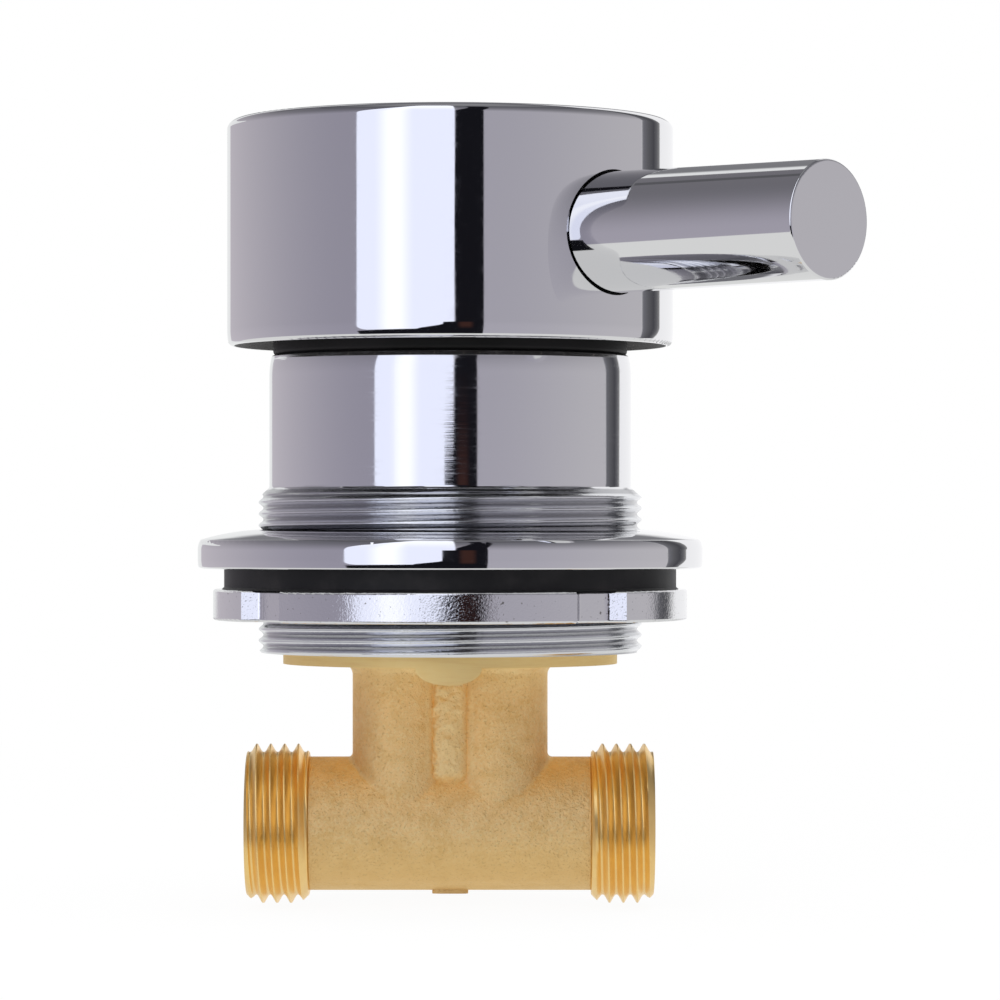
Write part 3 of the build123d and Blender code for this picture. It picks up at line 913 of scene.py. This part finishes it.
def threadShell(name, plan, low, high, limit):
    # a thread about Z between two levels, cut down to an outline that limits the radius by level
    pitch = plan["pitch"]
    first = math.floor((low - plan["crestAt"]) / pitch) * pitch + plan["crestAt"] - pitch
    points = [Vector((plan["crest"] - plan["depth"] * drop, 0, first + pitch * along))
              for along, drop in plan["shape"]]
    piece = drawLine(name, points)
    turns = piece.modifiers.new("turns", "SCREW")
    turns.axis = "Z"
    turns.screw_offset = pitch
    turns.iterations = math.ceil((high - first) / pitch) + 1
    turns.steps = plan["steps"]
    turns.render_steps = plan["steps"]
    bpy.ops.object.modifier_apply(modifier="turns")
    bpy.ops.object.mode_set(mode="EDIT")
    bpy.ops.mesh.select_all(action="SELECT")
    bpy.ops.mesh.remove_doubles(threshold=mergeGap)
    for level, clear in ((low, "clear_inner"), (high, "clear_outer")):
        bpy.ops.mesh.select_all(action="SELECT")
        bpy.ops.mesh.bisect(plane_co=(0, 0, level), plane_no=(0, 0, 1), threshold=cutGap,
                            **{clear: True})
    bpy.ops.object.mode_set(mode="OBJECT")
    for vertex in piece.data.vertices:
        radius = math.hypot(vertex.co.x, vertex.co.y)
        most = limit(vertex.co.z)
        if radius > most:
            vertex.co.x *= most / radius
            vertex.co.y *= most / radius
    return piece


# The sleeve: plain above, threaded below

sleevePlan = {
    "shape": metricShape,
    "pitch": 1.5 * mm,
    "depth": 0.62 * mm,
    "crest": 25.0 * mm,
    "crestAt": 0.35 * mm,     # a level that a crest passes in front
    "steps": 240,
    "bottom": -10.95 * mm,
    "fadeStart": 9.3 * mm,
    "fadeEnd": 10.5 * mm,
    "plain": 10.9 * mm,
    "top": 27.7 * mm,
    "plainRadius": 23.6 * mm,
    "chamfer": 0.35 * mm,
    "rollStart": 25.0 * mm,   # the top rolls in from here
    "rollDepth": 0.28 * mm,
    "edgeRound": 0.2 * mm,
    "edgeSteps": 8,
    "inside": [               # radius and level, from the top edge down to the foot
        (21.5 * mm, 27.7 * mm), (21.5 * mm, 24.0 * mm), (20.4 * mm, 24.0 * mm),
        (20.4 * mm, 2.0 * mm), (21.8 * mm, 2.0 * mm), (21.8 * mm, -10.95 * mm),
    ],
    "smooth": 32,
}


def sleeveLimit(level):
    plan = sleevePlan
    if level > plan["fadeEnd"] - sameGap:
        return plan["plainRadius"]
    fade = (level - plan["fadeStart"]) / (plan["fadeEnd"] - plan["fadeStart"])
    start = plan["crest"] - plan["chamfer"] + level - plan["bottom"]
    return min(plan["crest"] - max(fade, 0) * (plan["crest"] - plan["plainRadius"]), start)


def sleeveOutline():
    # the plain part, the roll, the round edge and the inside, as radius and level
    plan = sleevePlan
    radius, turn = plan["plainRadius"], plan["edgeRound"]
    rollEnd = plan["top"] - turn
    shares = [step / plan["edgeSteps"] for step in range(plan["edgeSteps"] + 1)]
    roll = [(radius - plan["rollDepth"] * share ** 2,
             plan["rollStart"] + (rollEnd - plan["rollStart"]) * share) for share in shares]
    edge = roll[-1][0] - turn
    arc = [(edge + turn * math.cos(math.pi / 2 * share),
            rollEnd + turn * math.sin(math.pi / 2 * share)) for share in shares[1:]]
    return [(radius, plan["plain"])] + roll + arc + plan["inside"]


def chromeSleeve():
    plan = sleevePlan
    piece = threadShell("sleeveShell", plan, plan["bottom"], plan["plain"], sleeveLimit)
    selectPlaces(piece, lambda place: abs(place.z - plan["plain"]) < sameGap)
    pullLoop(sleeveOutline())
    selectPlaces(piece, lambda place: abs(place.z - plan["bottom"]) < sameGap)
    bpy.ops.mesh.fill(use_beauty=True)
    closeUp(piece, plan["smooth"])
    piece.data.materials.append(finishes["sleeve_chrome"])
    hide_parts("sleeve")
    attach(piece, "valve")


chromeSleeve()
print("sleeve wound")


# The cap and the flange ring: the CAD shapes with an outer wall that rolls in at its foot

capPlan = {
    "radius": 29.1 * mm,
    "wallSlack": 0.03 * mm,   # the wall's flat faces lie this far in at most
    "rollStart": 31.0 * mm,
    "rollEnd": 29.5 * mm,
    "rollDepth": 0.14 * mm,
    "lipRadius": 28.2 * mm,
    "bottom": 29.0 * mm,
    "rimStart": 29.25 * mm,   # the CAD shape's own rim starts here
    "rimRound": 0.25 * mm,
    "rimShare": 0.85,         # how far round the new rim its last ring before the lip goes
    "topStart": 57.1 * mm,
    "topRound": 1.2 * mm,
    "topReach": 1.21 * mm,    # how far in the round at the top goes, and up to where
    "topEnd": 58.4 * mm,
    "rings": 9,
    "smooth": 30,
}
flangePlan = {
    "radius": 32.93 * mm,
    "wallSlack": 0.03 * mm,
    "rollStart": 1.3 * mm,
    "rollEnd": 0.3 * mm,
    "rollDepth": 0.085 * mm,
    "lipRadius": 32.03 * mm,
    "bottom": 0.0,
    "rimStart": 0.9 * mm,
    "rimRound": 0.9 * mm,
    "rimShare": 1.0,
    "topStart": 2.489 * mm,
    "topRound": 2.2 * mm,
    "topReach": 0.325 * mm,
    "topEnd": 3.5 * mm,
    "rings": 8,
    "smooth": 30,
}


def rimShape(plan):
    # the rim below the roll: an arc that starts at the roll's slope and ends at the lip
    slope = 2 * plan["rollDepth"] / (plan["rollStart"] - plan["rollEnd"])
    start = plan["radius"] - plan["rollDepth"]
    drop = plan["rollEnd"] - plan["bottom"]
    turn = math.atan(slope * drop / (start - plan["lipRadius"]))
    return turn, (start - plan["lipRadius"]) / math.cos(turn), drop / (1 - math.sin(turn))


def rollIn(plan, place):
    # where a point of the outer wall goes
    radius, level = math.hypot(place.x, place.y), place.z
    if level > plan["rollStart"] or radius < plan["lipRadius"] - sameGap:
        return place
    if level <= plan["rimStart"] + sameGap:
        across = max(radius - (plan["radius"] - plan["rimRound"]), 0)
        share = math.atan2(plan["rimStart"] - level, across) / (math.pi / 2)
        share = 1.0 if radius < plan["lipRadius"] + cutGap else share * plan["rimShare"]
        turn, wide, tall = rimShape(plan)
        angle = turn + (math.pi / 2 - turn) * share
        newRadius = plan["lipRadius"] + wide * math.cos(angle)
        level = plan["bottom"] + tall * (1 - math.sin(angle))
    else:
        stretch = (plan["rollStart"] - level) / (plan["rollStart"] - plan["rimStart"])
        newRadius = plan["radius"] - plan["rollDepth"] * stretch ** 2
        level = plan["rollStart"] - (plan["rollStart"] - plan["rollEnd"]) * stretch
    return Vector((place.x * newRadius / radius, place.y * newRadius / radius, level))


def wallNormal(plan, place):
    # the true direction of the outer wall at a point on it
    radius, level = math.hypot(place.x, place.y), place.z
    out, up = 1.0, 0.0
    if level > plan["topStart"]:
        up = min((level - plan["topStart"]) / plan["topRound"], 1)
        out = math.sqrt(1 - up * up)
    elif level < plan["rollEnd"]:
        turn, wide, tall = rimShape(plan)
        sine = max(min(1 - (level - plan["bottom"]) / tall, 1), 0)
        out, up = math.sqrt(1 - sine * sine) / wide, -sine / tall
    elif level < plan["rollStart"]:
        reach = plan["rollStart"] - plan["rollEnd"]
        up = -2 * plan["rollDepth"] * (plan["rollStart"] - level) / reach ** 2
    return Vector((place.x / radius * out, place.y / radius * out, up)).normalized()


def onWall(plan, places):
    # whether a face belongs to the outer wall, its rim or the round at its top
    least = min(math.hypot(place.x, place.y) for place in places)
    lowest, highest = min(place.z for place in places), max(place.z for place in places)
    wall = least > plan["radius"] - plan["wallSlack"]
    rim = highest < plan["rollStart"] + cutGap and least > plan["lipRadius"] - cutGap
    top = (plan["topStart"] - mergeGap < lowest and highest < plan["topEnd"]
           and least > plan["radius"] - plan["topReach"])
    return wall or rim or top


def rolledShell(node, name, plan, body, slot):
    piece = copyNode(node, name)
    outside = plan["lipRadius"] - cutGap
    for ring in range(1, plan["rings"] + 1):
        level = plan["rimStart"] + (plan["rollStart"] - plan["rimStart"]) * ring / plan["rings"]
        selectPlaces(piece, lambda place: math.hypot(place.x, place.y) > outside)
        bpy.ops.mesh.bisect(plane_co=(0, 0, level), plane_no=(0, 0, 1), threshold=cutGap)
    bpy.ops.object.mode_set(mode="OBJECT")
    for vertex in piece.data.vertices:
        vertex.co = rollIn(plan, vertex.co)
    closeUp(piece, plan["smooth"])
    mesh = piece.data
    normals = [corner.vector.copy() for corner in mesh.corner_normals]
    for face in mesh.polygons:
        places = [mesh.vertices[index].co for index in face.vertices]
        if onWall(plan, places):
            for corner, place in zip(face.loop_indices, places):
                normals[corner] = wallNormal(plan, place)
    mesh.normals_split_custom_set(normals)
    mesh.materials.clear()
    mesh.materials.append(finishes[slot])
    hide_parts(node)
    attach(piece, body)


rolledShell("handle_cap", "capBody", capPlan, "handle", "cap_chrome")
rolledShell("flange_ring", "flangeBody", flangePlan, "valve", "flange_chrome")
print("cap and flange rolled")


# The brass casting: the CAD shape with real pipe threads on its three ends

brassPlan = {
    "shape": pipeShape,
    "pitch": 1.814 * mm,
    "depth": 1.1 * mm,
    "crest": 10.4 * mm,
    "steps": 160,
    "start": 18.4 * mm,
    "reach": 26.5 * mm,
    "chamfer": 1.1 * mm,
    "inner": 7.5 * mm,        # faces of an end that stay within this radius are the bore's
    "axisLevel": -33.3 * mm,
    "tube": 8.7 * mm,
    "gateTop": -40.4 * mm,    # what stands below the tube within these bounds is the gate's stub
    "gateFoot": -42.2 * mm,
    "gateReach": 4.7 * mm,
    "gateShares": (0.65, 0.35),
    # each end: where a crest passes the top, and where the thread's own x, y and z axes point
    "ends": [
        (21.63 * mm, ((0, 0, -1), (0, 1, 0), (1, 0, 0))),
        (21.72 * mm, ((0, 0, 1), (0, -1, 0), (1, 0, 0))),
        (21.7 * mm, ((0, 1, 0), (0, 0, 1), (1, 0, 0))),
    ],
    "smooth": 30,
}


def portLimit(level):
    plan = brassPlan
    small = plan["crest"] - plan["chamfer"]
    return min(plan["crest"], small + plan["reach"] - level, small + level - plan["start"])


def inEnd(place, rows):
    # the level along a threaded end and the distance from its axis
    moved = place - Vector((0, 0, brassPlan["axisLevel"]))
    own = Matrix(rows).transposed() @ moved
    return own.z, math.hypot(own.x, own.y)


def trimGate(piece):
    # the gate's stub is dressed down to a narrow bump under the tube
    plan = brassPlan
    shareX, shareY = plan["gateShares"]
    for vertex in piece.data.vertices:
        place = vertex.co
        reach = max(abs(place.x), abs(place.y))
        if place.z < plan["gateTop"] and reach < plan["gateReach"]:
            place.x *= shareX
            place.y *= shareY
            if place.z > plan["gateFoot"]:
                place.z = plan["axisLevel"] - math.sqrt(plan["tube"] ** 2 - place.y ** 2)


def clearEnd(piece, rows):
    # deletes the plain outside and the front face of a threaded end
    plan = brassPlan
    selectPlaces(piece, lambda place: False)
    bpy.ops.mesh.select_mode(type="FACE")
    bpy.ops.object.mode_set(mode="OBJECT")
    for face in piece.data.polygons:
        spots = [inEnd(piece.data.vertices[corner].co, rows) for corner in face.vertices]
        lowest, reach = min(spot[0] for spot in spots), max(spot[1] for spot in spots)
        face.select = (lowest > plan["start"] - cutGap
                       and plan["inner"] < reach < plan["crest"] + cutGap)
    bpy.ops.object.mode_set(mode="EDIT")
    bpy.ops.mesh.delete(type="FACE")
    bpy.ops.object.mode_set(mode="OBJECT")


def brassBody():
    plan = brassPlan
    piece = copyNode("brass_body", "castBody")
    for crestAt, rows in plan["ends"]:
        clearEnd(piece, rows)
        ownPlan = dict(plan, crestAt=crestAt)
        shell = threadShell("portShell", ownPlan, plan["start"], plan["reach"], portLimit)
        toAxis = Matrix.Translation((0, 0, plan["axisLevel"]))
        shell.data.transform(toAxis @ Matrix(rows).to_4x4())
        activate(piece)
        shell.select_set(True)
        bpy.ops.object.join()
        for level in (plan["start"], plan["reach"]):
            selectPlaces(piece, lambda place: abs(inEnd(place, rows)[0] - level) < cutGap
                         and inEnd(place, rows)[1] < plan["crest"])
            bpy.ops.mesh.fill(use_beauty=True)
        bpy.ops.object.mode_set(mode="OBJECT")
    trimGate(piece)
    closeUp(piece, plan["smooth"])
    piece.data.materials.clear()
    piece.data.materials.append(finishes["casting"])
    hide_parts("brass_body")
    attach(piece, "valve")


flashPlan = {
    "halfWidth": 2.9 * mm,
    "front": -7.42 * mm,
    "fall": 1.5 * mm,         # how far its sides curve back
    "sink": 1.3 * mm,         # how far its lower end sinks into the tube
    "sinkFrom": 0.72,         # from this share of the way down from its middle
    "top": -12.35 * mm,
    "bottom": -28.2 * mm,
    "columns": 44,
    "rows": 120,
    "grain": 1.1 * mm,
    "octaves": 3,
    "depth": 0.5 * mm,
    "thick": 1.2 * mm,
    "smooth": 60,
}


def mouldFlash():
    # rough metal where the sand mould's halves met, in the valley between the front pillars
    plan = flashPlan
    bpy.ops.object.select_all(action="DESELECT")
    bpy.ops.mesh.primitive_grid_add(
        x_subdivisions=plan["columns"], y_subdivisions=plan["rows"], size=2 * mm)
    piece = bpy.context.object
    piece.name = "mouldFlash"
    middle, reach = (plan["top"] + plan["bottom"]) / 2, (plan["top"] - plan["bottom"]) / 2
    for vertex in piece.data.vertices:
        across, along = vertex.co.x / mm, vertex.co.y / mm
        end = max(-along - plan["sinkFrom"], 0) / (1 - plan["sinkFrom"])
        back = plan["fall"] * abs(across) ** 3 + plan["sink"] * end * end
        vertex.co = Vector((across * plan["halfWidth"], plan["front"] + back,
                            middle + along * reach))
    folds = bpy.data.textures.new("folds", "CLOUDS")
    folds.noise_scale = plan["grain"]
    folds.noise_depth = plan["octaves"]
    activate(piece)
    for direction in ("X", "Y"):
        rough = piece.modifiers.new("rough" + direction, "DISPLACE")
        rough.texture = folds
        rough.texture_coords = "LOCAL"
        rough.strength = plan["depth"]
        rough.mid_level = 0.5
        rough.direction = direction
    wall = piece.modifiers.new("wall", "SOLIDIFY")
    wall.thickness = plan["thick"]
    wall.offset = -1
    bpy.ops.object.modifier_apply(modifier="roughX")
    bpy.ops.object.modifier_apply(modifier="roughY")
    selectPlaces(piece, lambda place: True)
    bpy.ops.mesh.normals_make_consistent(inside=False)
    bpy.ops.object.mode_set(mode="OBJECT")
    if piece.data.polygons[len(piece.data.polygons) // 2].normal.y > 0:
        piece.data.flip_normals()
    bpy.ops.object.modifier_apply(modifier="wall")
    closeUp(piece, plan["smooth"])
    piece.data.materials.append(finishes["casting"])
    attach(piece, "valve")


brassBody()
mouldFlash()
print("brass body threaded")
